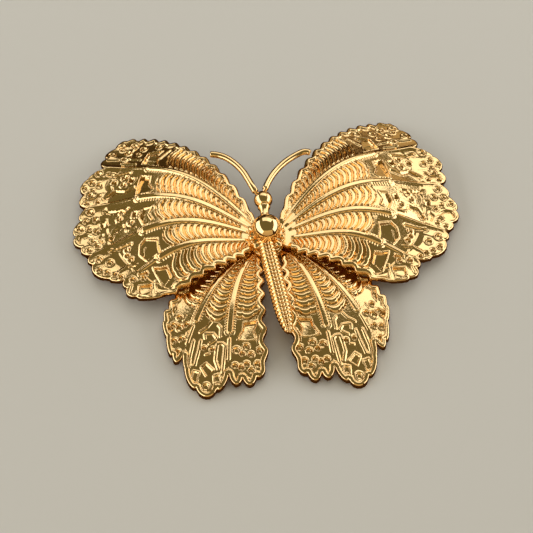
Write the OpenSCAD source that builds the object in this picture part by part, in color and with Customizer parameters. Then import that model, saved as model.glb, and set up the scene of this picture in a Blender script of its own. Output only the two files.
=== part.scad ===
// Butterfly brooch. A cast body carries a polished ball, two antennae, four domed
// wings that sit in slots round its hub, and a plain pin finding at the back.
// Millimetres, +Z up, +Y towards the head. It lies on its wing margins, and the
// origin is under the middle of its outline.

/* [Forewings] */
// Reach of the longest forewing vein from the hub
forewing_reach = 27.8; // [24:0.5:32]
// How high a forewing arches between hub and margin
forewing_arch = 2; // [1:0.1:2.6]
// How far the forewing margin hangs below the hub slot
forewing_drop = 4.4; // [3.4:0.1:5.4]
// How far the forewing margin turns up again, so that it lies flatter than the wing
margin_turn = 0.5; // [0:0.05:0.8]
// Width of a forewing at its root
forewing_root_w = 3; // [2:0.1:3.4]

/* [Hindwings] */
// Reach of the longest hindwing vein from the hub
hindwing_reach = 22.3; // [19:0.5:25]
// How high a hindwing arches between hub and margin
hindwing_arch = 1; // [0:0.1:1.4]
// How far the hindwing margin hangs below the hub slot
hindwing_drop = 1.8; // [1.4:0.1:2.4]
// Width of a hindwing at its root
hindwing_root_w = 1.6; // [1.2:0.1:2.4]

/* [Cast relief] */
// Thickness of the wing metal under the relief
wing_metal = 0.65; // [0.5:0.05:0.9]
// Height of the raised veins
vein_h = 0.45; // [0.2:0.05:0.6]
// Height of the raised scalloped rim
rim_h = 0.3; // [0.1:0.05:0.5]
// Height of the stacked crescents between the veins
crescent_h = 0.22; // [0.1:0.02:0.4]
// Crescents in each forewing panel
forewing_crescents = 13; // [8:1:14]
// Crescents in each hindwing panel
hindwing_crescents = 9; // [6:1:11]
// Height of the star that ends each row of crescents
star_h = 0.25; // [0.1:0.05:0.4]
// Depth of the small cells in the margin
cell_depth = 0.2; // [0.1:0.02:0.35]
// Depth of the scallops along the leading and trailing edges
scallop = 0.7; // [0.2:0.05:0.9]

/* [Body] */
// Radius of the hub
hub_r = 2.85; // [2.6:0.05:3.2]
// Sideways shift of the body from the wings' middle line, to the left
body_shift = 0.4; // [0:0.05:0.5]
// Half width of the web between the left and right slots
web_half = 1.3; // [1.2:0.05:1.4]
// Thickness of the hub's lower flange
flange_t = 0.65; // [0.5:0.05:0.9]
// Thickness of the hub between the hindwing and forewing slots
divider_t = 0.55; // [0.45:0.05:0.8]
// Thickness of the hub cap over the forewings
cap_t = 1; // [0.9:0.05:1.3]
// Radius of the polished thorax ball
ball_r = 2.2; // [2:0.05:2.3]
// Radius of the peg under the ball
peg_r = 0.5; // [0.35:0.05:0.6]
// Length of the peg under the ball
peg_len = 1.4; // [1:0.1:1.6]
// Radius of the claws round the ball
claw_r = 0.5; // [0.4:0.05:0.6]
// How deep the ball sits in the hub
seat_sink = 0.85; // [0.6:0.05:1]
// Clearance between seated pieces
fit = 0.08; // [0.05:0.01:0.12]

/* [Head and antennae] */
// Radius of the head ball
head_r = 1.42; // [1.2:0.02:1.5]
// Distance from the hub's middle to the head's middle
head_reach = 6.4; // [5.8:0.1:7.2]
// Radius of the neck at its waist
neck_r = 0.68; // [0.55:0.02:0.75]
// Radius of the antenna wire
wire_r = 0.5; // [0.4:0.01:0.56]
// Radius of the antenna's peg in the head
wire_peg_r = 0.28; // [0.22:0.01:0.32]
// Depth of the antenna's hole in the head
wire_hole = 0.7; // [0.5:0.05:0.8]
// Length of the antenna outside the head
antenna_len = 10.6; // [8:0.1:12]

/* [Abdomen] */
// Length of the abdomen from the hub's middle
abdomen_len = 17.4; // [15:0.2:19]
// Largest radius of the abdomen
abdomen_r = 1.35; // [1.1:0.05:1.5]
// Ribs along the abdomen
abdomen_ribs = 20; // [12:1:20]
// Depth of the valleys between the ribs
rib_depth = 0.22; // [0.1:0.02:0.3]
// Height of the abdomen's middle over its flat belly
belly = 0.75; // [0.6:0.05:0.9]
// Sideways lean of the abdomen to the right, in degrees
abdomen_lean = 8; // [4:0.5:9]
// Fall of the abdomen towards its tip, in degrees
abdomen_slope = 5; // [3:0.5:5]

/* [Pin finding] */
// Length of the pin finding
pin_len = 26; // [20:0.5:30]
// Radius of the pin wire
pin_wire_r = 0.35; // [0.25:0.05:0.35]
// Width of the back bar
bar_w = 3; // [2.5:0.1:3.5]
// Thickness of the back bar
bar_t = 0.8; // [0.8:0.05:1]
// Radius of the stud that carries the bar
stud_r = 0.8; // [0.6:0.05:1]
// Length of the hinge block and of the catch
block_len = 2.4; // [1.8:0.1:3]
// Distance from the bar's middle to the pin wire
pin_offset = 4; // [3.6:0.1:5]

/* [Hidden] */
gold = "goldenrod";
round_fn = 64;

// The hub stack, measured up from the underside of its lower flange
slot_h = wing_metal + 2 * fit;
hind_slot_z = flange_t;
fore_slot_z = hind_slot_z + slot_h + divider_t;
cap_z = fore_slot_z + slot_h;
hub_top = cap_z + cap_t;
root_x = web_half + fit;

// Columns of the vein tables. Reach, bow and skew are shares of the wing's reach or
// the vein's own length, and arch and drop are shares of the wing's arch and drop.
vein_angle = 0;
vein_reach = 1;
vein_bow = 2;
vein_skew = 3;
vein_arch = 4;
vein_drop = 5;
fore_veins = [
    [47.5, 1.05, 0.29, 0.21, 0.30, 1.00],
    [34, 1.00, 0.21, 0.08, 0.90, 0.55],
    [19, 1.00, 0.20, -0.03, 0.95, 0.70],
    [2, 0.935, 0.21, -0.11, 0.95, 0.78],
    [-11, 0.775, 0.14, -0.02, 0.85, 0.62],
    [-25, 0.605, -0.07, -0.16, 0.65, 0.45]];
hind_veins = [
    [-38, 0.89, 0.24, 0.10, -0.60, 1.00],
    [-54, 1.00, 0.175, -0.14, 0.40, 1.00],
    [-73, 1.00, 0.18, -0.25, 0.55, 0.95],
    [-87, 0.875, 0.03, -0.28, 0.40, 1.00]];

// The valleys of each margin lobe: place across the panel, and reach past the veins
// as a share of their length
fore_lobes = [
    [[0, 0], [0.24, 0.03], [0.63, 0.035], [1, 0]],
    [[0, 0], [0.24, 0.075], [0.63, 0.045], [1, 0]],
    [[0, 0], [0.24, 0.035], [0.5, 0.065], [0.76, 0.04], [1, 0]],
    [[0, 0], [0.24, 0.03], [0.76, 0.045], [1, 0]],
    [[0, 0], [0.24, 0.045], [0.63, 0.09], [0.9, 0.06], [1, 0]]];
hind_lobes = [
    [[0, 0], [0.24, 0.05], [0.63, 0.07], [1, 0]],
    [[0, 0], [0.1, 0.06], [0.37, 0.12], [0.76, 0.085], [1, 0]],
    [[0, 0], [0.37, 0.03], [0.76, 0.045], [1, 0]]];

// What sets the two kinds of wing apart
wing_reach = 0;
wing_arch = 1;
wing_drop = 2;
wing_root_w = 3;
wing_root_y = 4;
wing_root_z = 5;
wing_veins = 6;
wing_lobes = 7;
wing_bump = 8;
wing_crescents = 9;
wing_lead = 10;
wing_trail = 11;
wing_last = 12;
wing_turn = 13;
forewing = [forewing_reach, forewing_arch, forewing_drop, forewing_root_w, 0.5,
    fore_slot_z + fit + wing_metal, fore_veins, fore_lobes, 0.042, forewing_crescents,
    13, 9, 0.56, margin_turn];
hindwing = [hindwing_reach, hindwing_arch, hindwing_drop, hindwing_root_w, -0.5,
    hind_slot_z + fit + wing_metal, hind_veins, hind_lobes, 0.045, hindwing_crescents,
    9, 8, 0.5, 0];

// The wings stay flat as far as this from the middle of the hub, and their relief
// fades in over the next stretch
hub_edge = hub_r + 0.4;
hub_fade = 0.9;
// Share of each vein at which the crescents start
crescents_from = 0.13;
// How far the crescents bulge outwards, as a share of the vein
curl = 0.03;
// Share of the vein's length that the raised rim takes at its end
rim_share = 0.035;
// Share of the vein from which the margin turns up
turn_from = 0.885;
// The veins sink over this share before the margin, down to a low ridge
vein_stop = 0.93;
vein_fade = 0.06;
vein_tail = 0.3;
// Share of the two outer panels that follows the scalloped edge, and the length beyond
// the hub over which the scallops grow to their full depth
edge_band = 0.25;
scallop_fade = 2;
// Least width that a panel counts as, where the veins meet at the root
least_span = 0.5;

// Columns across one panel: place, vein height, crescent height, star height, cell depth
across = [
    [0, 1, 0, 0, 0],
    [0.1, 0, 0.2, 0, 0],
    [0.24, 0, 0.8, 0.4, 0],
    [0.37, 0, 1, 0.9, 1],
    [0.5, 0, 1, 1, 0],
    [0.63, 0, 1, 0.9, 1],
    [0.76, 0, 0.8, 0.4, 0],
    [0.9, 0, 0.2, 0, 0]];

// Rows along a wing: share of the vein, crescent, star, cell, rim. A crescent takes
// two rows, one high and one low.
function root_rows() = [for (s = [0, 0.15, 0.3, 0.5, 0.7, 0.9]) [crescents_from * s, 0, 0, 0, 0]];
function crescent_rows(w) =
    let (rows = 2 * w[wing_crescents], step = (w[wing_last] - crescents_from) / rows)
    [for (i = [0 : rows - 1]) [crescents_from + step * (i + 0.5), i % 2, 0, 0, 0]];
function outer_rows(w) = [
    for (r = [[0.125, 0, 0, 0, 0], [0.21, 0, 0.6, 0, 0], [0.3, 0, 1, 0, 0], [0.39, 0, 0.4, 0, 0],
            [0.475, 0, 0, 0, 0], [0.565, 0, 0, 0, 0], [0.65, 0, 0, 1, 0], [0.74, 0, 0, 0.2, 0],
            [0.825, 0, 0, 1, 0], [0.91, 0, 0, 0, 0]])
        [w[wing_last] + (1 - w[wing_last]) * r[0], r[1], r[2], r[3], r[4]]];
function wing_rows(w) = concat(
    root_rows(),
    crescent_rows(w),
    outer_rows(w),
    [[1 - rim_share, 0, 0, 0, 0], [1 - 0.6 * rim_share, 0, 0, 0, 1], [1, 0, 0, 0, 0.8]]);

// Plan and height of one vein at share t of its length. Its height follows its way
// out from the edge of the hub.
function from_hub(p) = norm([p[0] - body_shift, p[1]]) - hub_edge;
function rise(s) = (1 - cos(360 * min(1, s))) / 2;
function vein_root(w, k) =
    [root_x, w[wing_root_y] + w[wing_root_w] * (0.5 - k / (len(w[wing_veins]) - 1))];
function vein_point(w, k, t) =
    let (v = w[wing_veins][k],
        length = v[vein_reach] * w[wing_reach],
        d = [cos(v[vein_angle]), sin(v[vein_angle])],
        n = [-d[1], d[0]],
        a = vein_root(w, k),
        b = a + d * length,
        m = (a + b) / 2 + n * v[vein_bow] * length + d * v[vein_skew] * length,
        p = (1 - t) * (1 - t) * a + 2 * t * (1 - t) * m + t * t * b,
        s = max(0, from_hub(p) / from_hub(b)),
        z = w[wing_root_z] + w[wing_arch] * v[vein_arch] * rise(s)
            - w[wing_drop] * v[vein_drop] * s * s)
    [p[0], p[1], z];

// Outline of the margin lobes and of the two long edges. A lobe narrower than this
// share of its panel stands out less, and the power below 1 makes its end rounder.
full_lobe = 0.36;
lobe_round = 0.75;
function lobe_piece(t, v, i) = v <= t[i + 1][0] || i == len(t) - 2 ? i : lobe_piece(t, v, i + 1);
function lobe(w, k, v) =
    let (t = w[wing_lobes][k],
        i = lobe_piece(t, v, 0),
        width = t[i + 1][0] - t[i][0],
        s = (v - t[i][0]) / width)
    t[i][1] + s * (t[i + 1][1] - t[i][1])
        + w[wing_bump] * min(1, width / full_lobe) * pow(max(0, sin(180 * s)), lobe_round);
function edge_bump(count, t, p) =
    scallop * abs(sin(180 * count * t)) * min(1, max(0, from_hub(p)) / scallop_fade);
function edge_reach(w, k, v, t, a, b) =
    let (last = len(w[wing_lobes]) - 1, span = max(least_span, norm(b - a)))
    k == 0 && v < edge_band ? -edge_bump(w[wing_lead], t, a) * (1 - v / edge_band) / span
    : k == last && v > 1 - edge_band
        ? edge_bump(w[wing_trail], t, b) * (1 - (1 - v) / edge_band) / span : 0;

// A point of the smooth wing surface, at share u of the veins and place v in panel k
function smooth_point(w, u, k, v) =
    let (t = u + curl * 4 * v * (1 - v) * sin(180 * u) + lobe(w, k, v) * u * u * u,
        a = vein_point(w, k, t),
        b = vein_point(w, k + 1, t),
        s = v + edge_reach(w, k, v, t, a, b),
        turn = w[wing_turn] * max(0, u - turn_from) / (1 - turn_from))
    a * (1 - s) + b * s + [0, 0, turn];

// Height of the relief for row r and panel column c at point p. It fades out at the
// hub, so that the root fits its slot.
function clear_of_hub(p) = min(1, max(0, from_hub(p) / hub_fade));
function vein_end(u) = min(1, max(vein_tail, (vein_stop - u) / vein_fade));
function relief(r, c, edge, p) = clear_of_hub(p) * (
    (edge ? rim_h : vein_h * vein_end(r[0])) * c[1] * (1 - r[4])
    + crescent_h * r[1] * c[2] + star_h * r[2] * c[3]
    - cell_depth * r[3] * c[4] + rim_h * r[4]);

// The grid of a wing: its rows run along the veins, and its columns cross the panels
function wing_columns(w) = concat(
    [for (k = [0 : len(w[wing_lobes]) - 1]) for (c = across) [k, c[0], c]],
    [[len(w[wing_lobes]) - 1, 1, across[0]]]);
function top_grid(w) =
    let (rows = wing_rows(w), columns = wing_columns(w), last = len(wing_columns(w)) - 1)
    [for (r = rows) [for (j = [0 : last])
        let (c = columns[j], p = smooth_point(w, r[0], c[0], c[1]))
        p + [0, 0, relief(r, c[2], j == 0 || j == last, p)]]];
function base_grid(w) =
    let (rows = wing_rows(w), columns = wing_columns(w))
    [for (i = [0 : 2 : len(rows) - 1]) [for (j = [0 : 2 : len(columns) - 1])
        smooth_point(w, rows[i][0], columns[j][0], columns[j][1]) - [0, 0, wing_metal]]];

function flatten(rows) = [for (r = rows) for (p = r) p];
function lowest(points) = min([for (p = points) p[2]]);
fore_base = base_grid(forewing);
hind_base = base_grid(hindwing);
fore_top = top_grid(forewing);
hind_top = top_grid(hindwing);
outline_y = [for (p = concat(flatten(fore_top), flatten(hind_top))) p[1]];

// The whole brooch stands on its lowest wing margins, with its outline centred
lift = [0, -(max(outline_y) + min(outline_y)) / 2,
    -min(lowest(flatten(fore_base)), lowest(flatten(hind_base)), -bar_t)];

// Strip of wall between two top steps and one base step
function wall(t0, t1, t2, b0, b2) = [[t0, t1, b0], [t1, b2, b0], [t1, t2, b2]];

// A wing as one closed solid: relief on top, a smooth back with every second point
module wing_solid(top, base) {
    tr = len(top) - 1;
    tc = len(top[0]) - 1;
    br = len(base) - 1;
    bc = len(base[0]) - 1;
    first = (tr + 1) * (tc + 1);
    function t(i, j) = i * (tc + 1) + j;
    function b(i, j) = first + i * (bc + 1) + j;
    faces = concat(
        [for (i = [0 : tr - 1]) for (j = [0 : tc - 1])
            each [[t(i, j), t(i + 1, j), t(i + 1, j + 1)], [t(i, j), t(i + 1, j + 1), t(i, j + 1)]]],
        [for (i = [0 : br - 1]) for (j = [0 : bc - 1])
            each [[b(i, j), b(i + 1, j + 1), b(i + 1, j)], [b(i, j), b(i, j + 1), b(i + 1, j + 1)]]],
        [for (i = [0 : br - 1]) each concat(
            wall(t(2 * i + 2, 0), t(2 * i + 1, 0), t(2 * i, 0), b(i + 1, 0), b(i, 0)),
            wall(t(2 * i, tc), t(2 * i + 1, tc), t(2 * i + 2, tc), b(i, bc), b(i + 1, bc)))],
        [for (j = [0 : bc - 1]) each concat(
            wall(t(0, 2 * j), t(0, 2 * j + 1), t(0, 2 * j + 2), b(0, j), b(0, j + 1)),
            wall(t(tr, 2 * j + 2), t(tr, 2 * j + 1), t(tr, 2 * j), b(br, j + 1), b(br, j)))]);
    polyhedron(concat(flatten(top), flatten(base)), faces);
}

module forewing_right() {
    color(gold) translate(lift) wing_solid(fore_top, fore_base);
}

module forewing_left() {
    mirror([1, 0, 0]) forewing_right();
}

module hindwing_right() {
    color(gold) translate(lift) wing_solid(hind_top, hind_base);
}

module hindwing_left() {
    mirror([1, 0, 0]) hindwing_right();
}

// The neck from inside the hub to inside the head: share of the way, and radius as a
// share of the waist
neck_rings = [[0.35, 1.3], [0.54, 1.1], [0.62, 1], [0.8, 1.1], [0.9, 1.1]];

// Places shared by the body and what it carries
ball_z = hub_top + ball_r - seat_sink;
head_z = cap_z + neck_r * neck_rings[0][1] + fit;
head_place = [-body_shift, head_reach, head_z];

// Left and right antenna: its place round the head, its angle from straight ahead, and
// its stretches, each a share of its length and a turn. Both enter the head this high.
antenna_lift = 18;
left_antenna = [45, 21, [[0.3, 0], [0.42, 27], [0.28, 36]]];
right_antenna = [12, 23, [[0.05, 0], [0.83, 43], [0.12, 55]]];
bend_step = 9;
wire_sides = 12;
// The wire's shoulder starts just clear of the round head
wire_seat = 0.35;

// Ribbed spindle of the abdomen along +Z,
// that swells over its first third and rounds off from tip_from onwards
root_share = 0.86;
tip_from = 0.72;
tip_round = 0.3;
function abdomen_shape(s) =
    min(1, root_share + s / 2) * sqrt(1 - pow(max(0, (s - tip_from) / tip_round), 2));
module abdomen_spindle() {
    ribs_from = 0.67 * hub_r;
    rib_pitch = (abdomen_len - ribs_from) / abdomen_ribs;
    profile = [for (i = [0 : abdomen_ribs - 1]) for (q = [0, 0.3, 0.7])
        let (z = ribs_from + (i + q) * rib_pitch)
        [abdomen_r * abdomen_shape(z / abdomen_len) - (q == 0 ? rib_depth : 0), z]];
    rotate_extrude($fn = round_fn)
        polygon(concat([[0, 0], [abdomen_r * root_share, 0]], profile, [[0, abdomen_len]]));
}

// The abdomen is flat underneath, so that it passes over the hindwings, and grooved on top
abdomen_z = cap_z + belly + fit;
abdomen_side = 0.5;
groove = 0.4;
module abdomen() {
    translate([-body_shift - abdomen_side, 0, abdomen_z])
        rotate([0, 0, abdomen_lean])
            rotate([90 + abdomen_slope, 0, 0])
                difference() {
                    abdomen_spindle();
                    translate([-abdomen_r - 1, -belly - abdomen_r - 1, -1])
                        cube([2 * abdomen_r + 2, abdomen_r + 1, abdomen_len + 2]);
                    translate([0, abdomen_r - groove, hub_r])
                        rotate([0, 0, 45])
                            cube([groove * 2, groove * 2, abdomen_len]);
                }
}

module neck() {
    rings = [for (q = neck_rings) [neck_r * q[1], head_reach * q[0]]];
    translate([-body_shift, 0, head_z])
        rotate([-90, 0, 0])
            rotate_extrude($fn = round_fn)
                polygon(concat([[0, rings[0][1]]], rings, [[0, rings[len(rings) - 1][1]]]));
}

module claws() {
    for (a = [20, 62, 118, 160, 200, 232, 308, 340])
        rotate([0, 0, a])
            translate([hub_r - claw_r, 0, hub_top])
                sphere(claw_r, $fn = 32);
}

module hub() {
    cylinder(h = hub_top, r = hub_r, $fn = round_fn);
    translate([0, 0, hub_top])
        cylinder(h = claw_r, r1 = hub_r - claw_r / 2, r2 = hub_r - claw_r, $fn = round_fn);
    claws();
    translate([0, 0, -bar_t])
        cylinder(h = bar_t + flange_t, r = stud_r, $fn = round_fn);
}

module slot(z) {
    for (side = [0, 1])
        mirror([side, 0, 0])
            translate([web_half, -2 * hub_r, z])
                cube([3 * hub_r, 4 * hub_r, slot_h]);
}

// Frame at the wire's entry into the head, with +Y along the wire
module at_antenna(antenna, side) {
    place = antenna[0];
    translate(head_place)
        mirror([side, 0, 0])
            translate(head_r * [cos(antenna_lift) * sin(place), cos(antenna_lift) * cos(place),
                sin(antenna_lift)])
                rotate([0, 0, -antenna[1]])
                    children();
}

module wire_bore(antenna, side) {
    at_antenna(antenna, side)
        rotate([90, 0, 0])
            translate([0, 0, -1])
                cylinder(h = wire_hole + 1, r = wire_peg_r + fit / 2, $fn = round_fn);
}

module body() {
    color(gold) translate(lift) difference() {
        union() {
            difference() {
                translate([-body_shift, 0, 0]) hub();
                slot(hind_slot_z);
                slot(fore_slot_z);
            }
            neck();
            translate(head_place) sphere(head_r, $fn = round_fn);
            abdomen();
        }
        translate([-body_shift, 0, ball_z]) sphere(ball_r + fit, $fn = round_fn);
        translate([-body_shift, 0, ball_z - ball_r - peg_len])
            cylinder(h = peg_len + ball_r, r = peg_r + fit, $fn = round_fn);
        wire_bore(left_antenna, 1);
        wire_bore(right_antenna, 0);
    }
}

module thorax_ball() {
    color(gold) translate(lift) translate([-body_shift, 0, ball_z]) {
        sphere(ball_r, $fn = round_fn);
        translate([0, 0, -ball_r - peg_len + fit])
            cylinder(h = peg_len + ball_r / 2, r = peg_r, $fn = round_fn);
    }
}

// Stations along a wire: place, heading clockwise from +Y, and radius
function right_of(h) = [cos(h), -sin(h), 0];
function ahead_of(h) = [sin(h), cos(h), 0];
function bend_stations(stretches, i, p, h) = i == len(stretches) ? [] :
    let (run = antenna_len * stretches[i][0],
        turn = stretches[i][1],
        steps = max(1, ceil(turn / bend_step)),
        step_run = run / steps,
        step_turn = turn / steps,
        middles = [for (s = [0 : steps - 1]) ahead_of(h + (s + 0.5) * step_turn)],
        places = [for (s = 1, q = p + step_run * middles[0]; s <= steps;
            q = q + (s < steps ? step_run * middles[s] : [0, 0, 0]), s = s + 1) q])
    concat(
        [for (s = [1 : steps]) [places[s - 1], h + s * step_turn, wire_r]],
        bend_stations(stretches, i + 1, places[steps - 1], h + turn));
function wire_stations(antenna) = concat(
    [[[0, fit - wire_hole, 0], 0, wire_peg_r],
        [[0, wire_seat, 0], 0, wire_peg_r],
        [[0, wire_seat, 0], 0, wire_r * 0.8],
        [[0, wire_seat + wire_r / 4, 0], 0, wire_r]],
    bend_stations(antenna[2], 0, [0, wire_seat + wire_r / 4, 0], 0));

module antenna_wire(antenna, side) {
    stations = wire_stations(antenna);
    last = len(stations) - 1;
    function ring(p, h, r) =
        [for (q = [0 : wire_sides - 1])
            let (a = 360 * q / wire_sides) p + r * (cos(a) * right_of(h) + sin(a) * [0, 0, 1])];
    function q(i, j) = i * wire_sides + j % wire_sides;
    end = stations[last];
    tip = ring(end[0] + ahead_of(end[1]) * wire_r * 0.35, end[1], wire_r * 0.75);
    points = concat([for (s = stations) each ring(s[0], s[1], s[2])], tip);
    faces = concat(
        [[for (j = [wire_sides - 1 : -1 : 0]) j]],
        [[for (j = [0 : wire_sides - 1]) q(last + 1, j)]],
        [for (i = [0 : last]) for (j = [0 : wire_sides - 1])
            each [[q(i, j), q(i + 1, j + 1), q(i + 1, j)], [q(i, j), q(i, j + 1), q(i + 1, j + 1)]]]);
    color(gold) translate(lift) at_antenna(antenna, side) polyhedron(points, faces);
}

module antenna_left() {
    antenna_wire(left_antenna, 1);
}

module antenna_right() {
    antenna_wire(right_antenna, 0);
}

// Back bar on the hub's stud, with a hinge block, a catch and the pin wire between them
module pin_finding() {
    wire_z = -(bar_t + fit) / 2;
    block_y = pin_offset + 2 * pin_wire_r;
    color(gold) translate(lift) {
        difference() {
            translate([-pin_len / 2, -bar_w / 2, -bar_t])
                cube([pin_len, bar_w, bar_t - fit]);
            translate([-body_shift, 0, -bar_t - 1])
                cylinder(h = bar_t + 2, r = stud_r + fit, $fn = round_fn);
        }
        for (x = [-pin_len / 2, pin_len / 2 - block_len])
            translate([x, 0, -bar_t])
                cube([block_len, block_y, bar_t - fit]);
        translate([-pin_len / 2 + block_len / 2, pin_offset, wire_z])
            rotate([0, 90, 0])
                cylinder(h = pin_len - block_len, r = pin_wire_r, $fn = 32);
    }
}

body();
thorax_ball();
forewing_left();
forewing_right();
hindwing_left();
hindwing_right();
antenna_left();
antenna_right();
pin_finding();
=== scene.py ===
import math
import bpy
import numpy as np
from mathutils import Matrix, Vector


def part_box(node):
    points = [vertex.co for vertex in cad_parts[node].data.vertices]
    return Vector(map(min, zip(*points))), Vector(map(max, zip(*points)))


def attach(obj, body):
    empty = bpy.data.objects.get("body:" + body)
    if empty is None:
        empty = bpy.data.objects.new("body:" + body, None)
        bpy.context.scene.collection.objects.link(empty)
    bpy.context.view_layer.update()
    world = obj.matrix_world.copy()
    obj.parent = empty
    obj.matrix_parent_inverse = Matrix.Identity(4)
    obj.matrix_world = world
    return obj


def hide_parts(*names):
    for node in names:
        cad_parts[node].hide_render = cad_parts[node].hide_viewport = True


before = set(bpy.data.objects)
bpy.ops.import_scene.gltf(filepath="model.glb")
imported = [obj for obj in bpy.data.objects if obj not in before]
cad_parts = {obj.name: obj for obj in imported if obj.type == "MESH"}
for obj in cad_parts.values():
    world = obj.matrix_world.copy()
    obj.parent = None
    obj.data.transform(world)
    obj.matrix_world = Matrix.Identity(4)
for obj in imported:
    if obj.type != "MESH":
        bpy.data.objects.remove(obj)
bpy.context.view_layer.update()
print("frame loaded:", ", ".join(sorted(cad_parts)))

mm = 0.001  # lengths below are millimetres until a mesh is made

# The hub carries everything, so its place is read from the frame: the ball sits over
# its middle, and the stud under it is as long as the back bar is thick
hub = {
    "radius": 2.85,
    "webHalf": 1.3,  # half width of the web between the slots
    "flange": 0.65,  # disc under the hindwings
    "slot": 0.81,  # height of each wing slot
    "divider": 0.55,  # disc between the slots
    "cap": 1.0,  # disc over the forewings
    "edge": 0.08,  # small bevel on its discs
    "capEdge": 0.16,  # and a wider one on the cap
    "fit": 0.08,  # clearance between seated pieces
    "flat": 0.4,  # the wings stay flat this far beyond the hub
    "fadeFrom": 0.05,  # and their relief starts this far beyond it
    "fade": 0.5,  # and grows over this stretch
    "stud": 0.8,  # radius and height of the stud under it
    "studRoot": 0.3,  # how far the stud reaches into the flange
    "sides": 96,
}
ballLow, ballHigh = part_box("thorax_ball")
hubX = (ballLow.x + ballHigh.x) / 2 / mm
hubY = (ballLow.y + ballHigh.y) / 2 / mm
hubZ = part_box("body")[0].z / mm + hub["stud"]
hindSlotZ = hub["flange"]
foreSlotZ = hindSlotZ + hub["slot"] + hub["divider"]
capZ = foreSlotZ + hub["slot"]
hubTop = capZ + hub["cap"]
wingMetal = hub["slot"] - 2 * hub["fit"]
lift = [0, hubY, hubZ]  # pieces are built at the hub's foot, and moved by this at the end
hubCentre = np.array([hubX, 0, 0])


def linear(hexColour):  # sRGB to the linear colour that shaders and lights take
    channels = [int(hexColour[i:i + 2], 16) / 255 for i in (1, 3, 5)]
    return [c / 12.92 if c <= 0.04045 else ((c + 0.055) / 1.055) ** 2.4 for c in channels] + [1.0]


def addNode(tree, kind, settings=None, inputs=None, links=None):
    node = tree.nodes.new(kind)
    for name, value in (settings or {}).items():
        setattr(node, name, value)
    for name, value in (inputs or {}).items():
        node.inputs[name].default_value = value
    for name, source in (links or {}).items():
        tree.links.new(source, node.inputs[name])
    return node


def ridge(distance, halfWidth, power=2):  # 1 on its line, 0 at its foot, flatter on top with more power
    return np.sqrt(np.clip(1 - np.abs(distance / halfWidth) ** power, 0, 1))


def ramp(low, high, x):  # smooth step from 0 at low to 1 at high
    s = np.clip((x - low) / (high - low), 0, 1)
    return s * s * (3 - 2 * s)


# Gold plate. Every finish is the same real gold, so the colours are shared, and what the
# eye tells apart is how smooth the metal under the plate was left.

goldLook = {
    "light": "#FFDDA2",  # new gold plate
    "deep": "#FFD290",  # where the plate is thicker and warmer
    "cloudsPerMm": 0.3,  # patches between the two colours
    "marksPerMm": 2.5,  # polishing marks, where the roughness changes
}
goldFinish = {  # roughness from and to, then the size and height of the grain
    "cast": {"roughLow": 0.07, "roughHigh": 0.16, "grainMm": 0.35, "grainMicrons": 14.0},
    "body": {"roughLow": 0.10, "roughHigh": 0.20, "grainMm": 0.35, "grainMicrons": 14.0},
    "mirror": {"roughLow": 0.02, "roughHigh": 0.05, "grainMm": 0.8, "grainMicrons": 2.0},
    "wire": {"roughLow": 0.08, "roughHigh": 0.14, "grainMm": 0.12, "grainMicrons": 3.0},
    "finding": {"roughLow": 0.16, "roughHigh": 0.26, "grainMm": 0.2, "grainMicrons": 4.0},
}


def goldMaterial(name, finish):
    material = bpy.data.materials.new(name)
    material.use_nodes = True
    tree = material.node_tree
    shader = tree.nodes["Principled BSDF"]
    shader.inputs["Metallic"].default_value = 1.0
    place = addNode(tree, "ShaderNodeTexCoord")
    scaled = addNode(tree, "ShaderNodeMapping", inputs={"Scale": (1 / mm, 1 / mm, 1 / mm)},
        links={"Vector": place.outputs["Object"]})
    # Clouds a few millimetres wide: the plate's colour drifts a little
    cloud = addNode(tree, "ShaderNodeTexNoise", inputs={"Scale": goldLook["cloudsPerMm"], "Detail": 3.0},
        links={"Vector": scaled.outputs["Vector"]})
    tint = addNode(tree, "ShaderNodeMix", settings={"data_type": "RGBA"},
        links={"Factor": cloud.outputs["Fac"]})
    tint.inputs["A"].default_value = linear(goldLook["light"])
    tint.inputs["B"].default_value = linear(goldLook["deep"])
    tree.links.new(tint.outputs["Result"], shader.inputs["Base Color"])
    # Fine polish marks: roughness changes over tenths of a millimetre. Most of the noise
    # lies between 0.3 and 0.7, so those are the ends.
    marks = addNode(tree, "ShaderNodeTexNoise", inputs={"Scale": goldLook["marksPerMm"], "Detail": 4.0},
        links={"Vector": scaled.outputs["Vector"]})
    rough = addNode(tree, "ShaderNodeMapRange",
        inputs={"From Min": 0.3, "From Max": 0.7,
            "To Min": finish["roughLow"], "To Max": finish["roughHigh"]},
        links={"Value": marks.outputs["Fac"]})
    tree.links.new(rough.outputs["Result"], shader.inputs["Roughness"])
    grain = addNode(tree, "ShaderNodeTexNoise", inputs={"Scale": 1 / finish["grainMm"], "Detail": 2.0},
        links={"Vector": scaled.outputs["Vector"]})
    bump = addNode(tree, "ShaderNodeBump",
        inputs={"Strength": 1.0, "Distance": finish["grainMicrons"] * 0.001 * mm},
        links={"Height": grain.outputs["Fac"]})
    tree.links.new(bump.outputs["Normal"], shader.inputs["Normal"])
    return material


# Cast wings: bright, with low waves from the mould that break each highlight up
castGold = goldMaterial("goldPlateOnCastBrass", goldFinish["cast"])
# Cast body: the polishing wheel can't reach its corners, so its shine is softer
bodyGold = goldMaterial("goldPlateOnCastBody", goldFinish["body"])
# Polished ball: a clean mirror of the room
mirrorGold = goldMaterial("goldPlateMirrorPolished", goldFinish["mirror"])
# Drawn wire: smooth from the die, with one narrow highlight along it
wireGold = goldMaterial("goldPlateOnDrawnWire", goldFinish["wire"])
# Stamped finding: left satin, because it is never seen
findingGold = goldMaterial("goldPlateOnStampedBrass", goldFinish["finding"])
print("materials made")


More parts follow.
